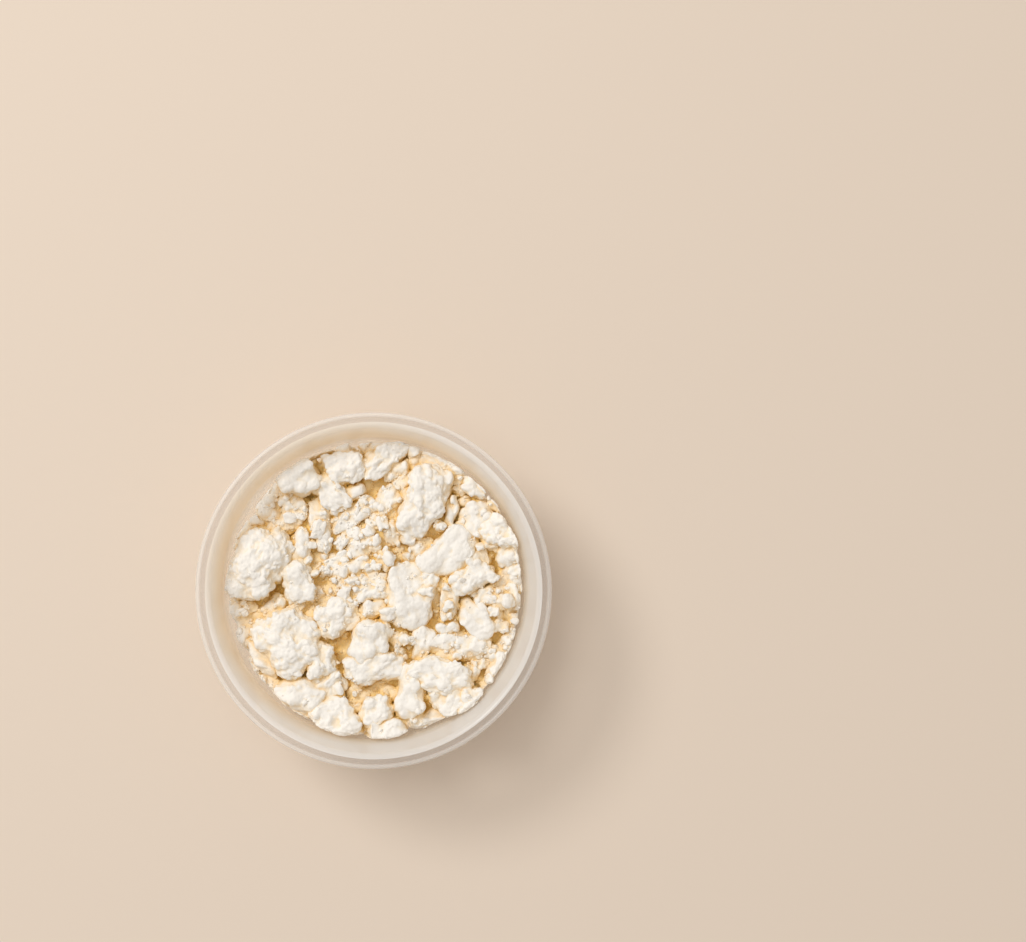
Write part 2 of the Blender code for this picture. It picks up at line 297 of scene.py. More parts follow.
def tubOutline():
    bead = (rimRadius - tub["beadRadius"], rimHeight - tub["beadRadius"])
    mouth = (mouthRadius, flangeHeight - tub["mouthFillet"])
    foot = floorCorner(tub["footFillet"], 0.0, -tub["wall"])
    grooveRadius = rimRadius - 2 * tub["beadRadius"]
    skirtInside = grooveRadius + tub["wall"]
    skirtEnd = rimHeight - tub["skirtDrop"]
    r = tub["skirtRound"]
    small = tub["smallRound"]
    outline = [(0.0, floorHeight)]
    outline += arc(floorCorner(tub["floorFillet"], floorHeight), tub["floorFillet"], -90, -leanAngle, 10)
    outline += arc(mouth, tub["mouthFillet"], 180 - leanAngle, 90, 10)
    outline += arc((grooveRadius - small, flangeHeight + small), small, -90, 0, 4)
    outline += arc(bead, tub["beadRadius"], 180, 0, 16)
    outline += arc((rimRadius - r, skirtEnd + r), r, 0, -90, 4)
    outline += arc((skirtInside + small, skirtEnd + small), small, -90, -180, 4)
    outline += arc((skirtInside - small, flangeHeight - tub["wall"] - small), small, 0, 90, 4)
    outline += arc(mouth, tub["mouthFillet"] - tub["wall"], 90, 180 - leanAngle, 8)
    outline += arc(foot, tub["footFillet"], -leanAngle, -90, 10)
    inner = foot[0] - tub["footWidth"]
    outline += arc((inner, small), small, -90, -150, 3)
    outline += [(inner - tub["footRise"] / 2, tub["footRise"])]
    outline += [(tub["gateRadius"] + small, tub["footRise"])]
    outline += arc((tub["gateRadius"] - small, tub["footRise"] - tub["gateDrop"] + small), small, 0, -90, 3)
    outline += [(0.0, tub["footRise"] - tub["gateDrop"])]
    return outline


def turnedMesh(name, outline, segments):
    bm = bmesh.new()
    corners = [bm.verts.new((radius, 0.0, height)) for radius, height in outline]
    edges = [bm.edges.new(pair) for pair in zip(corners, corners[1:])]
    bmesh.ops.spin(
        bm, geom=corners + edges, cent=(0, 0, 0), axis=(0, 0, 1),
        angle=2 * math.pi, steps=segments, use_merge=True, use_duplicate=False,
    )
    bmesh.ops.remove_doubles(bm, verts=bm.verts, dist=0.005 * mm)
    bmesh.ops.recalc_face_normals(bm, faces=bm.faces)
    return meshFromBmesh(name, bm)


def milkyPolypropylene(name, alpha, colour=plastic["colour"]):
    # injection moulded polypropylene, uncoloured: it scatters light inside the thin wall, so it looks
    # milky, lets part of what lies behind show, and has a soft satin gloss with faint flow marks
    material, tree, shader = newMaterial(name)
    where = addNode(tree, "ShaderNodeTexCoord").outputs["Object"]
    flow = addNode(
        tree, "ShaderNodeTexNoise", {"Scale": 1 / plastic["flow"], "Detail": 2.0}, {"Vector": where}
    )
    low, high = plastic["roughness"]
    gloss = addNode(
        tree, "ShaderNodeMapRange", {"To Min": low, "To Max": high}, {"Value": flow.outputs["Fac"]}
    )
    bump = addNode(
        tree, "ShaderNodeBump", {"Strength": 0.12, "Distance": plastic["flowRelief"]},
        {"Height": flow.outputs["Fac"]},
    )
    shader.inputs["Base Color"].default_value = linearColour(colour)
    tree.links.new(gloss.outputs["Result"], shader.inputs["Roughness"])
    tree.links.new(bump.outputs["Normal"], shader.inputs["Normal"])
    shader.inputs["IOR"].default_value = plastic["ior"]
    shader.inputs["Subsurface Weight"].default_value = plastic["scattered"]
    shader.inputs["Subsurface Radius"].default_value = (1.0, 0.95, 0.9)
    shader.inputs["Subsurface Scale"].default_value = plastic["scatterReach"]
    shader.inputs["Alpha"].default_value = alpha
    return material, tree, shader


def fadeByHeight(tree, shader, heights, alphas):
    # alpha that goes from one value to the other between two heights
    where = addNode(tree, "ShaderNodeTexCoord").outputs["Object"]
    height = addNode(tree, "ShaderNodeSeparateXYZ", {}, {0: where})
    alpha = addNode(
        tree, "ShaderNodeMapRange",
        {"From Min": heights[0], "From Max": heights[1], "To Min": alphas[0], "To Max": alphas[1]},
        {"Value": height.outputs["Z"]},
    )
    tree.links.new(alpha.outputs["Result"], shader.inputs["Alpha"])
    return where


def footedPolypropylene(name):
    # the same plastic on the outside, where the thick foot is whiter than the thin wall above it
    material, tree, shader = milkyPolypropylene(name, 1.0)
    fadeByHeight(tree, shader, plastic["footTop"], plastic["outsideAlpha"])
    return material


def bounceTintedPolypropylene(name):
    # the same plastic on the inside: a warm yellowish tint is painted just above the cheese and fades
    # towards the rim, as painted light for the warm light the cheese throws back onto the wall and painted
    # shade on the side turned from the key light; lower down the cheese wets the plastic, so this face of it
    # can't be seen
    material, tree, shader = milkyPolypropylene(name, 1.0)
    where = fadeByHeight(tree, shader, plastic["wettedTop"], plastic["insideAlpha"])
    level = addNode(
        tree, "ShaderNodeVectorMath", {1: plastic["bounceTintTilt"]}, {0: where}, operation="DOT_PRODUCT"
    )
    low, high = plastic["bounceTintHeight"]
    bounceTint = addNode(
        tree, "ShaderNodeMapRange", {"From Min": low, "From Max": high}, {"Value": level.outputs["Value"]}
    )
    paintedShadingRamp = addNode(tree, "ShaderNodeValToRGB", {}, {"Fac": bounceTint.outputs["Result"]})
    setRamp(paintedShadingRamp, plastic["bounceTint"])
    tree.links.new(paintedShadingRamp.outputs["Color"], shader.inputs["Base Color"])
    return material


def makeTub():
    piece = newObject("tubWall", turnedMesh("tubWall", tubOutline(), tub["segments"]))
    piece.data.shade_smooth()
    piece.data.set_sharp_from_angle(angle=math.radians(tub["sharpFrom"]))
    piece.data.materials.append(footedPolypropylene("polypropyleneOutside"))
    piece.data.materials.append(bounceTintedPolypropylene("polypropyleneInside"))
    # the flange's darker colour is painted shade, for the shadowed floor seen through the clear flange
    flange = milkyPolypropylene("polypropyleneFlange", plastic["flangeAlpha"], plastic["flangeShadeColour"])[0]
    piece.data.materials.append(flange)
    piece.data.materials.append(milkyPolypropylene("polypropyleneBead", plastic["beadAlpha"])[0])
    for face in piece.data.polygons:
        # outside the mouth the flange is flat and thin, so it is the clearest, and the bead is a little
        # milkier; inside it, faces that look up are the inner side of the tub
        out = math.hypot(face.center.x, face.center.y)
        if out > rimRadius - 2 * tub["beadRadius"]:
            face.material_index = 3
        elif out > mouthRadius:
            face.material_index = 2
        else:
            face.material_index = int(face.normal.z > 0)
    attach(piece, "root")
    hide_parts("tub")


makeTub()
print("the tub is turned")


# The cheese: balls of curd in clumps, melted together by a voxel remesh, then roughened

cheese = {
    "gap": 0.3 * mm,            # between the cheese and the tub
    "ceiling": 36.0 * mm,
    "bedEdge": 22.4 * mm,
    "bedMiddle": 24.2 * mm,
    "bedRelief": 2.4 * mm,
    "bedLump": 4.5 * mm,
    "pitDepth": 2.4 * mm,
}

knobbly, smooth, broken = "knobbly", "smooth", "broken"

# the large crumbles as they lie: x, y, length, width, turn, height of the top, finish (mm, degrees)
crumbles = (
    (-39.0, 8.5, 24.0, 17.0, 42, 34.0, knobbly),
    (-47.5, 1.0, 8.0, 6.0, 150, 27.5, knobbly),
    (-24.5, 14.0, 12.0, 7.0, 85, 29.0, smooth),
    (-25.5, 2.5, 13.0, 9.5, 100, 31.0, knobbly),
    (-25.8, 37.5, 13.5, 12.0, 10, 33.8, broken),
    (-14.5, 32.0, 12.0, 9.0, 120, 30.0, knobbly),
    (-10.0, 40.5, 11.5, 10.0, 15, 31.0, knobbly),
    (-35.0, 25.5, 12.0, 8.5, 75, 24.5, smooth),
    (-27.5, 25.0, 12.0, 8.0, 60, 27.2, knobbly),
    (-18.0, 21.0, 16.0, 7.0, 100, 28.0, knobbly),
    (-7.5, 25.0, 14.5, 6.5, 36, 28.0, smooth),
    (-5.0, 14.5, 10.0, 8.0, 60, 27.7, knobbly),
    (-5.5, 7.5, 8.5, 6.0, 30, 28.2, smooth),
    (-15.5, 8.5, 10.0, 7.0, 170, 25.7, smooth),
    (4.0, 44.0, 17.0, 9.0, 38, 30.5, knobbly),
    (22.5, 42.0, 14.5, 8.5, 155, 28.0, knobbly),
    (33.5, 35.0, 9.0, 8.5, 60, 28.0, knobbly),
    (16.0, 29.0, 22.0, 13.0, 68, 33.0, knobbly),
    (25.0, 25.5, 8.5, 4.5, 80, 28.2, smooth),
    (34.0, 23.5, 11.5, 10.0, 50, 28.5, smooth),
    (42.0, 19.0, 14.0, 10.0, 160, 31.0, knobbly),
    (45.0, 11.5, 9.0, 6.5, 20, 28.5, knobbly),
    (24.0, 11.5, 18.5, 12.0, 38, 29.8, broken),
    (34.5, 10.5, 9.0, 7.0, 80, 29.0, smooth),
    (32.0, 4.0, 14.5, 8.5, 22, 30.0, knobbly),
    (44.0, 3.0, 10.0, 8.5, 30, 26.5, smooth),
    (11.5, -1.2, 20.0, 14.0, 82, 30.0, smooth),
    (-1.0, 0.5, 10.5, 9.0, 10, 28.7, knobbly),
    (4.5, 29.5, 10.0, 8.0, 40, 28.2, knobbly),
    (6.5, 19.5, 9.5, 7.5, 75, 28.2, knobbly),
    (33.5, -9.5, 13.0, 8.5, 130, 28.5, smooth),
    (43.5, -2.5, 9.0, 7.5, 20, 27.5, knobbly),
    (24.5, -4.0, 11.0, 6.5, 85, 28.2, knobbly),
    (29.0, -18.5, 16.5, 9.0, 10, 28.5, knobbly),
    (15.5, -18.0, 10.0, 7.0, 70, 28.2, smooth),
    (21.5, -28.5, 19.0, 11.0, 172, 33.0, knobbly),
    (12.0, -34.0, 15.0, 9.5, 78, 31.0, smooth),
    (25.0, -37.0, 14.0, 9.5, 160, 31.5, knobbly),
    (32.0, -38.5, 11.5, 9.0, 95, 32.0, knobbly),
    (19.0, -43.0, 11.5, 6.0, 12, 27.0, smooth),
    (41.0, -26.5, 11.0, 7.5, 60, 28.0, knobbly),
    (0.5, -40.5, 10.5, 10.0, 30, 30.5, knobbly),
    (3.0, -47.0, 13.0, 8.0, 10, 30.5, broken),
    (-1.5, -17.0, 14.0, 11.0, 62, 32.0, smooth),
    (0.0, -26.0, 18.0, 9.5, 6, 30.5, knobbly),
    (-12.5, -9.0, 13.5, 11.5, 15, 30.0, knobbly),
    (-28.0, -17.0, 20.0, 17.5, 125, 32.5, knobbly),
    (-37.0, -22.5, 13.0, 8.5, 135, 28.0, smooth),
    (-18.0, -23.5, 11.0, 9.5, 100, 31.0, knobbly),
    (-25.0, -34.5, 14.5, 9.5, 170, 31.0, smooth),
    (-15.5, -33.0, 12.5, 8.0, 35, 28.7, smooth),
    (-13.0, -43.0, 13.5, 12.5, 120, 31.0, knobbly),
    (-7.5, -46.5, 8.0, 6.5, 80, 27.5, smooth),
    (-32.5, -5.5, 8.5, 7.0, 60, 28.2, knobbly),
    (-42.5, -13.5, 10.0, 8.0, 100, 24.0, smooth),
)

# lesser crumbles between them, named in the same way
lesserCrumbles = (
    (-17.0, 47.5, 5.0, 4.0, 20, 26.0, knobbly),
    (-2.0, 40.5, 6.5, 6.0, 0, 28.7, knobbly),
    (5.5, 38.5, 6.0, 5.0, 30, 27.7, knobbly),
    (-7.0, 32.0, 7.0, 5.0, 15, 27.7, smooth),
    (-31.0, 20.5, 8.0, 7.0, 30, 25.7, smooth),
    (-30.5, 31.5, 6.0, 5.0, 20, 25.0, smooth),
    (-38.0, 18.5, 6.5, 5.0, 40, 25.5, knobbly),
    (-43.5, 17.5, 5.0, 4.0, 0, 25.0, smooth),
    (-34.5, 33.0, 6.0, 5.0, 40, 24.5, smooth),
    (-22.0, 45.5, 6.0, 4.0, 30, 25.5, smooth),
    (-11.5, 15.8, 5.5, 4.5, 40, 27.2, knobbly),
    (-10.0, 2.6, 5.0, 5.0, 0, 27.2, knobbly),
    (-13.0, 26.5, 5.5, 5.0, 40, 27.7, knobbly),
    (-1.0, -6.5, 8.5, 6.0, 20, 28.7, smooth),
    (20.0, 38.5, 10.0, 7.0, 10, 27.0, smooth),
    (9.5, 36.0, 6.5, 5.0, 30, 28.2, knobbly),
    (27.0, 37.5, 6.0, 5.0, 0, 26.5, knobbly),
    (28.0, 33.0, 5.0, 4.0, 60, 26.5, knobbly),
    (41.0, 29.0, 6.5, 6.0, 0, 27.5, knobbly),
    (15.5, 14.0, 7.5, 5.5, 20, 27.2, smooth),
    (17.5, 3.0, 6.5, 6.0, 0, 28.7, knobbly),
    (3.0, 10.0, 7.5, 5.0, 90, 27.7, smooth),
    (2.0, 22.5, 5.5, 5.0, 0, 27.2, knobbly),
    (0.0, 27.5, 5.0, 4.5, 0, 27.7, knobbly),
    (-1.0, 18.5, 6.0, 5.0, 30, 26.7, knobbly),
    (38.5, 14.5, 5.0, 4.0, 0, 28.0, knobbly),
    (47.0, 6.5, 5.5, 6.0, 0, 27.0, knobbly),
    (47.5, -5.0, 5.0, 4.5, 0, 26.5, knobbly),
    (25.0, -1.5, 5.5, 5.0, 0, 28.2, knobbly),
    (24.0, -12.7, 6.5, 4.5, 20, 27.7, smooth),
    (39.0, -7.0, 4.5, 4.0, 0, 28.2, knobbly),
    (41.5, -12.0, 5.0, 4.5, 0, 26.5, knobbly),
    (46.5, -10.0, 4.0, 4.0, 0, 26.5, knobbly),
    (44.0, -17.5, 5.5, 5.0, 0, 26.0, knobbly),
    (38.0, -20.5, 5.0, 4.5, 0, 26.5, knobbly),
    (35.0, -24.5, 7.0, 5.0, 20, 26.5, knobbly),
    (37.5, -31.0, 6.0, 5.0, 40, 27.0, knobbly),
    (22.0, -18.0, 9.0, 5.5, 10, 28.2, smooth),
    (8.0, -16.5, 6.0, 5.0, 30, 27.7, knobbly),
    (7.5, -21.5, 5.0, 4.5, 0, 27.2, knobbly),
    (5.0, -35.0, 6.5, 6.0, 0, 25.7, smooth),
    (-5.5, -35.5, 6.5, 5.5, 0, 25.7, smooth),
    (13.0, -42.5, 6.5, 6.0, 0, 27.5, knobbly),
    (7.5, -43.5, 5.5, 4.5, 0, 27.0, knobbly),
    (-20.0, -36.5, 17.0, 8.0, 25, 27.7, smooth),
    (-24.0, -42.0, 6.5, 3.5, 10, 26.5, knobbly),
    (-33.5, -32.0, 5.0, 4.5, 0, 26.0, knobbly),
    (-38.0, -30.0, 4.0, 3.5, 0, 25.5, knobbly),
    (-40.7, -26.5, 4.5, 4.0, 0, 25.5, knobbly),
    (-36.0, -11.5, 6.0, 5.0, 0, 27.7, knobbly),
    (-42.0, -6.5, 5.5, 4.5, 30, 26.0, knobbly),
    (-45.5, -2.0, 5.0, 4.5, 0, 26.0, knobbly),
    (-12.3, 9.6, 8.0, 4.5, 20, 26.8, smooth),
    (-0.5, 6.8, 6.0, 4.5, 80, 27.4, knobbly),
    (-6.0, 19.0, 6.5, 5.0, 10, 27.4, smooth),
    (4.5, -8.0, 5.5, 5.0, 0, 27.6, knobbly),
    (-6.5, -2.0, 6.0, 4.5, 40, 27.2, smooth),
    (-26.0, -6.0, 5.0, 4.0, 0, 27.7, knobbly),
    (-20.0, -1.5, 6.0, 5.0, 30, 26.7, knobbly),
    (36.5, -2.5, 7.0, 6.0, 10, 27.6, knobbly),
    (13.5, 42.0, 6.5, 5.0, 20, 27.4, knobbly),
    (-19.5, 6.5, 5.0, 4.5, 0, 26.2, smooth),
)

# open pits in the heap, where the painted golden shade is deepest: x, y, radius (mm)
pits = (
    (-12.5, -17.5, 4.5), (-26.5, 20.0, 3.0), (-22.5, 31.0, 3.2), (-32.5, 2.5, 2.6), (-19.0, 3.0, 3.0),
    (-1.0, -33.0, 3.2), (6.5, -33.0, 2.4), (13.5, -25.5, 2.4), (24.5, 32.5, 2.2), (26.0, 19.5, 3.0),
    (11.0, 15.5, 2.6), (8.5, 26.5, 2.0), (40.0, 7.5, 2.2), (40.0, -15.0, 2.4), (19.0, -9.5, 2.8),
    (8.5, -39.5, 2.4), (-5.5, -39.0, 2.2), (0.0, 33.5, 2.2), (-38.5, -33.0, 2.6), (-13.5, 13.0, 2.6),
)


def pitAt(x, y):
    # 1 in the middle of a pit, falling to 0 around it
    return max(
        math.exp(-((x - px * mm) ** 2 + (y - py * mm) ** 2) / (radius * mm) ** 2) for px, py, radius in pits
    )


def bedHeight(x, y):
    away = min(1.0, math.hypot(x, y) / wallRadius(cheese["bedEdge"]))
    mound = cheese["bedMiddle"] - (cheese["bedMiddle"] - cheese["bedEdge"]) * away ** 2
    relief = cheese["bedRelief"] * noise.noise(Vector((x, y, 0.0)) / cheese["bedLump"])
    return mound + relief - cheese["pitDepth"] * pitAt(x, y)


def keepInTub(points, gap, give):
    # presses points that would pass the tub's inside, less the gap, into the give in front of it, so that
    # their relief stays, and holds them below the ceiling
    x, y, z = points[:, 0], points[:, 1], points[:, 2]
    z[:] = np.clip(z, floorHeight + gap, cheese["ceiling"])
    cornerRadius, cornerHeight = floorCorner(tub["floorFillet"], floorHeight)
    out = np.maximum(np.hypot(x, y), 0.01 * mm)
    below = np.clip(cornerHeight - z, 0.0, tub["floorFillet"] - gap)
    inCorner = cornerRadius + np.sqrt((tub["floorFillet"] - gap) ** 2 - below ** 2)
    onWall = wallRadius(z, gap)
    limit = np.where(z < cornerHeight, inCorner, onWall)
    over = np.maximum(0.0, out - limit + give)
    scale = np.where(over > 0, (limit - give * np.exp(-over / give)) / out, 1.0)
    x *= scale
    y *= scale


def ballShape(detail):
    bm = bmesh.new()
    bmesh.ops.create_icosphere(bm, subdivisions=detail, radius=1.0)
    mesh = meshFromBmesh("ball", bm)
    return asArrays(mesh)


def ballPlace(centre, radii, draw):
    turn = Euler([draw.uniform(0, math.pi) for _ in range(3)]).to_matrix().to_4x4()
    return Matrix.Translation(centre) @ turn @ Matrix.Diagonal((*radii, 1.0))


def melted(mesh, voxel, rounds):
    # the balls melt into one skin, and what lies inside them goes; the creases between them soften
    obj = newObject("melting", mesh)
    melt = obj.modifiers.new("melt", "REMESH")
    melt.mode = "VOXEL"
    melt.voxel_size = voxel
    soften = obj.modifiers.new("soften", "SMOOTH")
    soften.factor = 0.5
    soften.iterations = rounds
    graph = bpy.context.evaluated_depsgraph_get()
    result = bpy.data.meshes.new_from_object(obj.evaluated_get(graph))
    bpy.data.objects.remove(obj)
    return result


granules = {
    "reach": 0.58,              # part of a cell that its granule fills, and beyond it the ground is even
    "bend": 0.5 * mm,           # how far noise moves the cells, so that their edges aren't straight
    "bendScale": 2.5 * mm,
    "patchMiddle": 0.5,         # roughness between smooth and rough patches
    "patchContrast": 1.3,
}


def roughen(mesh, skin, seed):
    # curd granules, each a cell that bulges, over larger and smaller cells; the finest show in patches only
    points, shift = pointsOf(mesh), []
    normals = np.empty(points.size)
    mesh.vertices.foreach_get("normal", normals)
    offset = Vector((seed * 1.37, seed * 2.11, seed * 0.73))
    for point in points:
        p = Vector(point)
        patch = granules["patchMiddle"] + granules["patchContrast"] * noise.noise(p / skin["patch"] + offset)
        rough = min(1.0, max(skin["smoothest"], patch))
        bent = p + granules["bend"] * noise.noise_vector(p / granules["bendScale"] + offset)
        moved = rough * skin["grainDepth"] * noise.noise(p / skin["grain"] + offset)
        for i, (size, depth) in enumerate(skin["cells"]):
            away = min(1.0, noise.voronoi(bent / size + offset)[0][0] / granules["reach"])
            moved += (rough if i else 1.0) * depth * (0.5 - away * away)
        shift.append(moved)
    setPoints(mesh, points + normals.reshape(-1, 3) * np.array(shift)[:, None])


bed = {
    "core": 3.4 * mm,           # the plain middle stays this far inside the tub's wall
    "lumpRadius": (2.0 * mm, 4.4 * mm),
    "spacing": 5.0 * mm,
    "give": 0.8 * mm,
    "jitter": 0.4,              # of the spacing, to either side
    "rowStep": 0.85,            # of the spacing, from one row of lumps to the next
    "topSunk": 0.4,             # how much of its radius a lump's middle lies below the top
    "pressed": 0.66,            # how much of its radius a lump's middle keeps from the wall
    "voxel": 0.66 * mm,
    "melting": 3,
    "rings": 16,
    "segments": 96,
    "seed": 3,
    "skin": {
        "cells": ((3.6 * mm, 0.8 * mm), (1.9 * mm, 0.45 * mm)), "grain": 0.9 * mm, "grainDepth": 0.2 * mm,
        "patch": 6 * mm, "smoothest": 0.4,
    },
}


def bedCore():
    inset = bed["core"]
    outline = [(0.0, floorHeight + inset)]
    corner = floorCorner(tub["floorFillet"], floorHeight)
    outline += arc(corner, tub["floorFillet"] - inset, -90, -leanAngle, 4)
    edge = wallRadius(cheese["bedEdge"], inset)
    outline += [(edge * (1 - i / bed["rings"]), cheese["bedEdge"]) for i in range(bed["rings"] + 1)]
    core = turnedMesh("bedCore", outline, bed["segments"])
    for vertex in core.vertices:
        if vertex.co.z > cheese["bedEdge"] - inset:
            vertex.co.z = bedHeight(vertex.co.x, vertex.co.y)
    return core


def bedLumps(draw):
    # lumps pressed against the wall and the floor, and lumps that break up the top
    places = []
    jitter = bed["jitter"]
    height = floorHeight + bed["spacing"] / 2
    while height < cheese["bedEdge"]:
        around = 2 * math.pi * wallRadius(height)
        steps = int(around / bed["spacing"])
        for i in range(steps):
            radius = draw.uniform(*bed["lumpRadius"])
            angle = 2 * math.pi * (i + draw.uniform(-jitter, jitter)) / steps
            z = height + draw.uniform(-jitter, jitter) * bed["spacing"]
            out = wallRadius(z) - bed["pressed"] * radius * draw.uniform(0.9, 1.25)
            radii = [radius * draw.uniform(0.75, 1.1) for _ in range(3)]
            places.append((0, ballPlace((out * math.cos(angle), out * math.sin(angle), z), radii, draw)))
        height += bed["spacing"] * bed["rowStep"]
    golden = math.pi * (3 - math.sqrt(5))
    count = int((wallRadius(0) / bed["spacing"]) ** 2 * math.pi)
    for level in ("floor", "top"):
        edge = wallRadius(cheese["bedEdge"] if level == "top" else 0)
        for i in range(count):
            radius = draw.uniform(*bed["lumpRadius"])
            out = edge * math.sqrt((i + 0.5) / count)
            angle = golden * i + draw.uniform(-0.1, 0.1)
            x, y = out * math.cos(angle), out * math.sin(angle)
            if level == "floor":
                z = floorHeight + bed["pressed"] * radius
            else:
                z = bedHeight(x, y) - bed["topSunk"] * radius
            radii = [radius * draw.uniform(0.75, 1.1) for _ in range(3)]
            places.append((0, ballPlace((x, y, z), radii, draw)))
    return places


def joinMeshes(name, *meshes):
    bm = bmesh.new()
    for mesh in meshes:
        bm.from_mesh(mesh)
    return meshFromBmesh(name, bm)


def finishCheese(name, mesh, *nodes):
    mesh.shade_smooth()
    piece = newObject(name, mesh)
    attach(piece, "root")
    if nodes:
        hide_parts(*nodes)
    return piece


def makeBed():
    draw = random.Random(bed["seed"])
    lumps = joinCopies("bedLumps", [ballShape(2)], bedLumps(draw))
    mesh = melted(joinMeshes("crumbleBed", bedCore(), lumps), bed["voxel"], bed["melting"])
    roughen(mesh, bed["skin"], bed["seed"])
    points = pointsOf(mesh)
    keepInTub(points, cheese["gap"], bed["give"])
    setPoints(mesh, points)
    return finishCheese("crumbleBed", mesh, "crumbles")


# Clumps: balls melt into a lump, some sides of it break off flat, and curd granules cover the rest

clumps = {
    "flatness": 0.85,           # least height for its width
    "buried": 2.5 * mm,
    "give": 3.0 * mm,
    "spread": 1.24,             # over the named size, as the outline draws in between its lobes
    "heart": 0.86,              # size of the ball in the middle
    "squareness": 3.0,          # 2 is an ellipsoid, and more is boxier
    "leastLobes": 4,
    "lobeFootprint": 26.0,      # mm2 for each lobe more
    "lobeLift": 0.15,           # how far the lobes favour the top, from 0 to 1
    "breakLift": 0.35,          # the same for the broken sides
    "breakReach": (0.68, 0.86), # where a side breaks, in parts of the clump's reach that way
    "ballDetail": 3,
    "brokenFlat": 0.82,
    "hiddenCell": 1.0 * mm,
    "hiddenDepth": 1.1 * mm,
    "seed": 21,
    "styles": {
        "knobbly": {
            "lobe": (0.42, 0.58), "reach": 0.56, "voxel": 0.43 * mm, "melting": 5, "breaks": 0,
            "skin": {
                "cells": ((3.8 * mm, 0.8 * mm), (2.1 * mm, 0.70 * mm), (1.35 * mm, 0.50 * mm)),
                "grain": 0.6 * mm, "grainDepth": 0.14 * mm, "patch": 5 * mm, "smoothest": 0.55,
            },
        },
        "smooth": {
            "lobe": (0.50, 0.66), "reach": 0.52, "voxel": 0.42 * mm, "melting": 7, "breaks": 2,
            "skin": {
                "cells": ((5.2 * mm, 1.0 * mm), (2.6 * mm, 0.50 * mm), (1.3 * mm, 0.30 * mm)),
                "grain": 0.6 * mm, "grainDepth": 0.09 * mm, "patch": 4 * mm, "smoothest": 0.25,
            },
        },
        "broken": {
            "lobe": (0.48, 0.66), "reach": 0.54, "voxel": 0.42 * mm, "melting": 5, "breaks": 4,
            "skin": {
                "cells": ((5.0 * mm, 0.9 * mm), (2.2 * mm, 0.40 * mm), (1.2 * mm, 0.20 * mm)),
                "grain": 0.55 * mm, "grainDepth": 0.07 * mm, "patch": 4 * mm, "smoothest": 0.1,
            },
        },
    },
}


def unitDirection(draw, lift):
    direction = Vector([draw.gauss(0, 1) for _ in range(3)])
    direction.normalize()
    direction.z = direction.z * (1 - lift) + lift
    return direction.normalized()


def shapeClump(halves, style, draw, number, voxel=None):
    # one clump round the origin, as point and face arrays
    places = [(0, Matrix.Diagonal((*(halves * clumps["heart"]), 1.0)))]
    footprint = 4 * halves.x * halves.y / mm ** 2
    for _ in range(clumps["leastLobes"] + round(footprint / clumps["lobeFootprint"])):
        direction = unitDirection(draw, clumps["lobeLift"])
        radius = draw.uniform(*style["lobe"]) * halves.y
        spot = Vector([
            halves[i] * style["reach"] * direction[i] * draw.uniform(0.85, 1.15) for i in range(3)
        ])
        places.append((0, ballPlace(spot, [radius * draw.uniform(0.8, 1.2) for _ in range(3)], draw)))
    balls = joinCopies("balls", [ballShape(clumps["ballDetail"])], places)
    mesh = melted(balls, voxel or style["voxel"], style["melting"])
    points = pointsOf(mesh)
    power = clumps["squareness"]
    along = points / np.array(halves)
    boxy = (np.abs(along) ** power).sum(axis=1) ** (1 / power)
    points *= (np.linalg.norm(along, axis=1) / boxy)[:, None]
    for _ in range(style["breaks"]):
        direction = np.array(unitDirection(draw, clumps["breakLift"]))
        along = points @ direction
        beyond = np.maximum(0.0, along - along.max() * draw.uniform(*clumps["breakReach"]))
        points -= clumps["brokenFlat"] * beyond[:, None] * direction
    setPoints(mesh, points)
    roughen(mesh, style["skin"], number)
    points = pointsOf(mesh)
    low, high = points.min(axis=0), points.max(axis=0)
    points = (points - (low + high) / 2) * (2 * np.array(halves) / (high - low))
    return points, trianglesOf(mesh)


def bedTops():
    # the top of the bed in each cell of a grid, for what is hidden under it
    cell = clumps["hiddenCell"]
    half = int(rimRadius / cell) + 2
    tops = np.zeros((2 * half, 2 * half))
    points = pointsOf(pieces[0].data)
    column = (points[:, :2] / cell).astype(int) + half
    np.maximum.at(tops, (column[:, 0], column[:, 1]), points[:, 2])
    return tops, half


def dropHidden(points, faces):
    # leaves out the faces that lie deep inside the bed
    tops, half = bedTops()
    column = (points[:, :2] / clumps["hiddenCell"]).astype(int) + half
    deep = points[:, 2] < tops[column[:, 0], column[:, 1]] - clumps["hiddenDepth"]
    faces = faces[~deep[faces].all(axis=1)]
    used, renumbered = np.unique(faces, return_inverse=True)
    return points[used], renumbered.reshape(-1, 3)


def makeClumps(name, table, *finishes):
    draw = random.Random(clumps["seed"])
    shapes, places = [], []
    for number, (x, y, length, width, turn, top, finish) in enumerate(table):
        if finish not in finishes:
            continue
        tall = (top * mm - bedHeight(x * mm, y * mm) + clumps["buried"]) / mm
        halves = Vector((length, width, max(clumps["flatness"] * width, tall))) * mm / 2
        halves.xy *= clumps["spread"]
        shapes.append(shapeClump(halves, clumps["styles"][finish], draw, number))
        centre = Matrix.Translation((x * mm, y * mm, top * mm - halves.z))
        places.append((len(places), centre @ Matrix.Rotation(math.radians(turn), 4, "Z")))
    whole = joinCopies(name, shapes, places)
    points, faces = asArrays(whole)
    keepInTub(points, cheese["gap"], clumps["give"])
    mesh = joinCopies(name, [dropHidden(points, faces)], [(0, Matrix.Identity(4))])
    return finishCheese(name, mesh)


pieces = [makeBed()]
print("the bed holds", len(pieces[0].data.polygons), "faces")
pieces.append(makeClumps("knobblyClumps", crumbles, knobbly))
print("the knobbly clumps hold", len(pieces[1].data.polygons), "faces")
pieces.append(makeClumps("smoothClumps", crumbles, smooth, broken))
print("the smooth clumps hold", len(pieces[2].data.polygons), "faces")
pieces.append(makeClumps("lesserClumps", lesserCrumbles, knobbly, smooth))
print("the lesser clumps hold", len(pieces[3].data.polygons), "faces")


# Loose crumbs, dropped from above onto what is already there

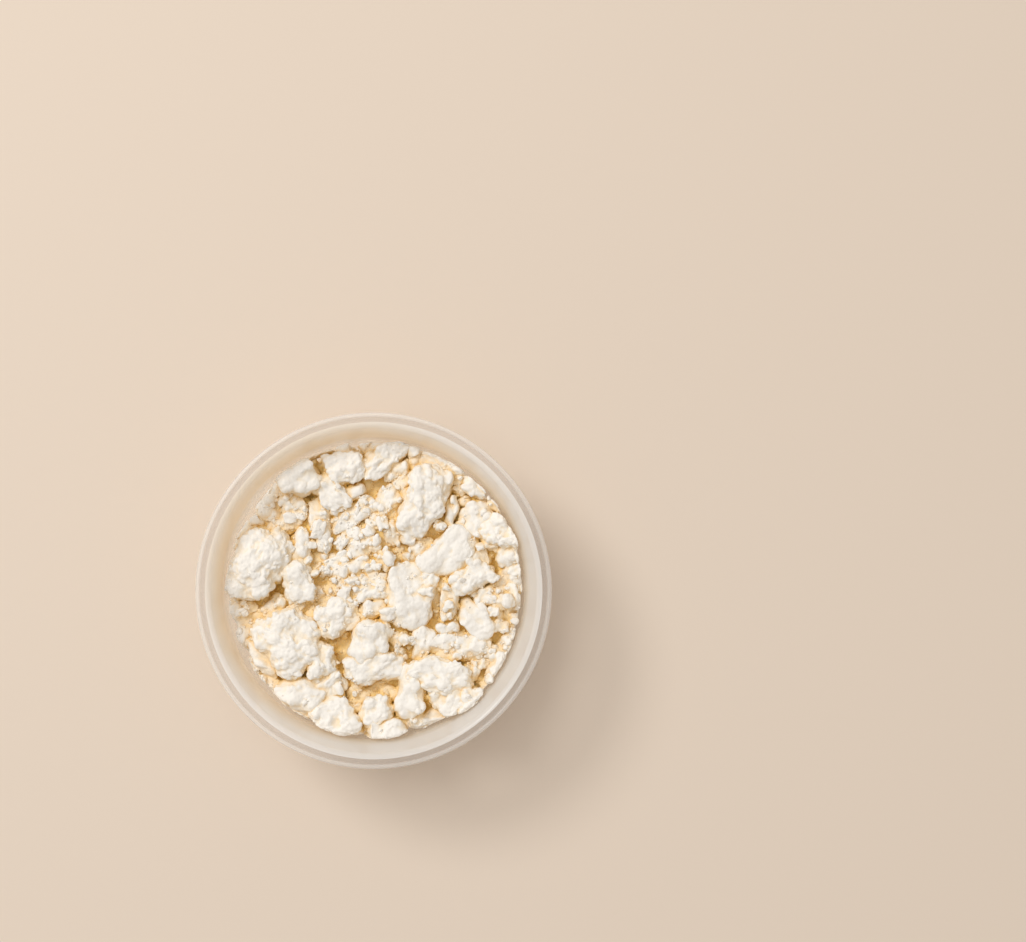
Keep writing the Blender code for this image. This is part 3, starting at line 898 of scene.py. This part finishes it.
dropping = {
    "pastBed": 1.5 * mm,        # crumbs fall this far past the radius of the wall at the bed
    "clumpRise": 3.5 * mm,      # ground that lies this far above the bed is a clump
}
crumbKinds = {
    "mediumCrumbs": {
        "count": 75, "size": (1.4 * mm, 3.0 * mm), "voxel": 0.55 * mm, "shapes": 16,
        "sunk": 0.45, "steepest": 0.35, "onClumps": 0.0, "inPits": 0.3, "seed": 5,
    },
    "smallCrumbs": {
        "count": 220, "size": (0.6 * mm, 1.4 * mm), "detail": 2, "shapes": 12, "lobes": 0.75, "breaks": 4,
        "sunk": 0.48, "steepest": 0.3, "onClumps": 0.03, "inPits": 0.4, "seed": 6,
    },
    "crumbDust": {
        "count": 800, "size": (0.22 * mm, 0.5 * mm), "detail": 1, "shapes": 8, "lobes": 0.6, "breaks": 3,
        "sunk": 0.3, "steepest": 0.2, "onClumps": 0.02, "inPits": 0.5, "seed": 7,
    },
}


def crumbShape(kind, number):
    # a crumb about as large as a ball of radius 1
    draw = random.Random(kind["seed"] * 100 + number)
    if "voxel" in kind:
        halves = Vector([draw.uniform(0.75, 1.2) for _ in range(3)]) * kind["size"][1]
        finish = clumps["styles"][draw.choice((smooth, broken))]
        points, faces = shapeClump(halves, finish, draw, number + 80, kind["voxel"])
        return points / kind["size"][1], faces
    bm = bmesh.new()
    bmesh.ops.create_icosphere(bm, subdivisions=kind["detail"], radius=1.0)
    offset = Vector((number * 5.1, number * 2.3, 0.4))
    for vertex in bm.verts:
        vertex.co *= 1.0 + kind["lobes"] * noise.noise(vertex.co * 1.3 + offset)
    for _ in range(kind["breaks"]):
        direction, reach = unitDirection(draw, 0.0), draw.uniform(0.45, 0.75)
        for vertex in bm.verts:
            vertex.co -= direction * max(0.0, vertex.co.dot(direction) - reach)
    return asArrays(meshFromBmesh("crumb", bm))


def landing(trees, x, y):
    # the highest point of the heap at x, y, and which way it faces
    best = None
    for tree in trees:
        spot, normal, _, _ = tree.ray_cast(Vector((x, y, rimHeight)), Vector((0, 0, -1)))
        if spot and (best is None or spot.z > best[0].z):
            best = spot, normal
    return best


def makeCrumbs(name, kind, ground):
    draw = random.Random(kind["seed"])
    graph = bpy.context.evaluated_depsgraph_get()
    trees = [BVHTree.FromObject(obj, graph) for obj in ground]
    shapes = [crumbShape(kind, i) for i in range(kind["shapes"])]
    places = []
    reach = wallRadius(cheese["bedMiddle"]) + dropping["pastBed"]
    while len(places) < kind["count"]:
        out, angle = reach * math.sqrt(draw.random()), draw.uniform(0, 2 * math.pi)
        x, y = out * math.cos(angle), out * math.sin(angle)
        size = draw.uniform(*kind["size"])
        keep = draw.random()
        found = landing(trees, x, y)
        if found is None or found[1].z < kind["steepest"] or found[0].z + size > cheese["ceiling"]:
            continue
        wanted = kind["onClumps"] if found[0].z > bedHeight(x, y) + dropping["clumpRise"] else 1.0
        wanted *= 1 - (1 - kind["inPits"]) * pitAt(x, y)
        if keep > wanted:
            continue
        spot = found[0] + found[1] * size * (1 - 2 * kind["sunk"])
        radii = [size * draw.uniform(0.7, 1.15) for _ in range(3)]
        places.append((draw.randrange(kind["shapes"]), ballPlace(spot, radii, draw)))
    mesh = joinCopies(name, shapes, places)
    points = pointsOf(mesh)
    keepInTub(points, cheese["gap"], bed["give"])
    setPoints(mesh, points)
    return finishCheese(name, mesh)


# the ground is the bed, the clumps and, once they lie there, the medium crumbs
for name, kind in crumbKinds.items():
    bpy.context.view_layer.update()
    pieces.append(makeCrumbs(name, kind, pieces[:5]))
    print(name, "holds", len(pieces[-1].data.polygons), "faces")


# How enclosed each point of the cheese is, read from a height map of the whole heap; this sets the painted
# shade in the cheese's colour

enclosure = {
    "cell": 0.35 * mm,
    "margin": 20,               # cells past the rim, for the longest of the distances
    "groundDrop": 3 * mm,       # where there is no cheese, the map lies this far below the bed's edge
    "directions": 16,
    "facing": (2, 0.2),         # gain and start, for points that face the wall or the floor
    "wallSkin": 1.2 * mm,
    "wallFade": 4.0 * mm,
    "wallLeast": 0.45,
    "deepest": (19.0 * mm, 21.0 * mm),
    "distances": (0.9 * mm, 1.6 * mm, 2.8 * mm, 4.5 * mm, 7.0 * mm),
}


def markEnclosure():
    cell = enclosure["cell"]
    half = int(rimRadius / cell) + enclosure["margin"]
    heights = np.full((2 * half, 2 * half), cheese["bedEdge"] - enclosure["groundDrop"])
    # the last piece is dust, which is too fine to enclose anything
    for piece in pieces[:-1]:
        points = pointsOf(piece.data)
        column = (points[:, :2] / cell).astype(int) + half
        np.maximum.at(heights, (column[:, 0], column[:, 1]), points[:, 2])
    for piece in pieces:
        points = pointsOf(piece.data)
        hidden = np.zeros(len(points))
        for i in range(enclosure["directions"]):
            angle = 2 * math.pi * i / enclosure["directions"]
            steepest = np.zeros(len(points))
            for distance in enclosure["distances"]:
                step = np.array((math.cos(angle), math.sin(angle))) * distance
                column = ((points[:, :2] + step) / cell).astype(int) + half
                rise = heights[column[:, 0], column[:, 1]] - points[:, 2]
                steepest = np.maximum(steepest, rise / np.hypot(rise, distance))
            hidden += steepest
        # the painted shade is held back, down to wallLeast of it, where the cheese faces the wall or the
        # floor near the tub, or lies low
        fromWall = wallRadius(points[:, 2]) - np.hypot(points[:, 0], points[:, 1])
        byWall = 1 - np.clip((fromWall - enclosure["wallSkin"]) / enclosure["wallFade"], 0.0, 1.0)
        low, high = enclosure["deepest"]
        byWall = np.maximum(byWall, np.clip((high - points[:, 2]) / (high - low), 0.0, 1.0))
        normals = np.empty(points.size)
        piece.data.vertices.foreach_get("normal", normals)
        normals = normals.reshape(-1, 3)
        outward = (normals[:, :2] * points[:, :2]).sum(axis=1) / np.hypot(points[:, 0], points[:, 1])
        gain, start = enclosure["facing"]
        facing = np.clip(gain * np.maximum(outward, -normals[:, 2]) - start, 0.0, 1.0)
        inward = 1 - (1 - enclosure["wallLeast"]) * byWall * facing
        attribute = piece.data.attributes.new("enclosed", "FLOAT", "POINT")
        attribute.data.foreach_set("value", (hidden / enclosure["directions"] * inward).astype(np.float32))


markEnclosure()
print("the enclosure of every point is marked")


curdLook = {
    "mottle": 4 * mm,
    "mottleReach": 0.16,        # how far the mottling moves the colour along the ramp
    # painted shade: from the curd's own near white where it lies open to golden where it is most enclosed
    "paintedShadingRamp": (
        (0.25, "#FCF8F1"), (0.38, "#FAF0DF"), (0.54, "#F9E5C6"), (0.76, "#FAE0AD"), (1.0, "#FBD880"),
    ),
    "granule": 1.2 * mm,        # granules too fine for the mesh are relief in the finish
    "granuleRelief": 0.30 * mm,
    "grain": 0.45 * mm,
    "grainRelief": 0.10 * mm,
    "roughness": (0.42, 0.70),
    "ior": 1.45,
    "specular": 0.35,
}


def freshGoatCheese():
    # fresh curd, crumbled: open tops keep the curd's own near white, and painted shade turns what lies deep
    # between the crumbles golden, for the warm light that comes back out of the curd after going in; the
    # broken surface is matt with a moist sheen
    material, tree, shader = newMaterial("freshGoatCheeseCrumbled")
    where = addNode(tree, "ShaderNodeTexCoord").outputs["Object"]
    enclosed = addNode(tree, "ShaderNodeAttribute", attribute_name="enclosed").outputs["Fac"]
    mottle = addNode(
        tree, "ShaderNodeTexNoise", {"Scale": 1 / curdLook["mottle"], "Detail": 3.0}, {"Vector": where}
    )
    shifted = addNode(
        tree, "ShaderNodeMath", {1: curdLook["mottleReach"]}, {0: mottle.outputs["Fac"]},
        operation="MULTIPLY",
    )
    # the enclosure, moved a little by a random mottle, picks the painted shade from the ramp
    depth = addNode(
        tree, "ShaderNodeMath", {}, {0: enclosed, 1: shifted.outputs["Value"]}, operation="ADD"
    )
    paintedShadingRamp = addNode(tree, "ShaderNodeValToRGB", {}, {"Fac": depth.outputs["Value"]})
    setRamp(paintedShadingRamp, curdLook["paintedShadingRamp"])
    grain = addNode(
        tree, "ShaderNodeTexNoise", {"Scale": 1 / curdLook["grain"], "Detail": 4.0, "Roughness": 0.65},
        {"Vector": where},
    )
    cells = addNode(tree, "ShaderNodeTexVoronoi", {"Scale": 1 / curdLook["granule"]}, {"Vector": where})
    bump = addNode(
        tree, "ShaderNodeBump", {"Strength": 0.60, "Distance": curdLook["granuleRelief"]},
        {"Height": cells.outputs["Distance"]}, invert=True,
    )
    bump = addNode(
        tree, "ShaderNodeBump", {"Strength": 0.18, "Distance": curdLook["grainRelief"]},
        {"Height": grain.outputs["Fac"], "Normal": bump.outputs["Normal"]},
    )
    low, high = curdLook["roughness"]
    sheen = addNode(
        tree, "ShaderNodeMapRange", {"To Min": low, "To Max": high}, {"Value": mottle.outputs["Fac"]}
    )
    tree.links.new(paintedShadingRamp.outputs["Color"], shader.inputs["Base Color"])
    tree.links.new(sheen.outputs["Result"], shader.inputs["Roughness"])
    tree.links.new(bump.outputs["Normal"], shader.inputs["Normal"])
    shader.inputs["IOR"].default_value = curdLook["ior"]
    shader.inputs["Specular IOR Level"].default_value = curdLook["specular"]
    return material


curd = freshGoatCheese()
for piece in pieces:
    piece.data.materials.clear()
    piece.data.materials.append(curd)
print("the cheese has its finish")

bpy.context.view_layer.update()
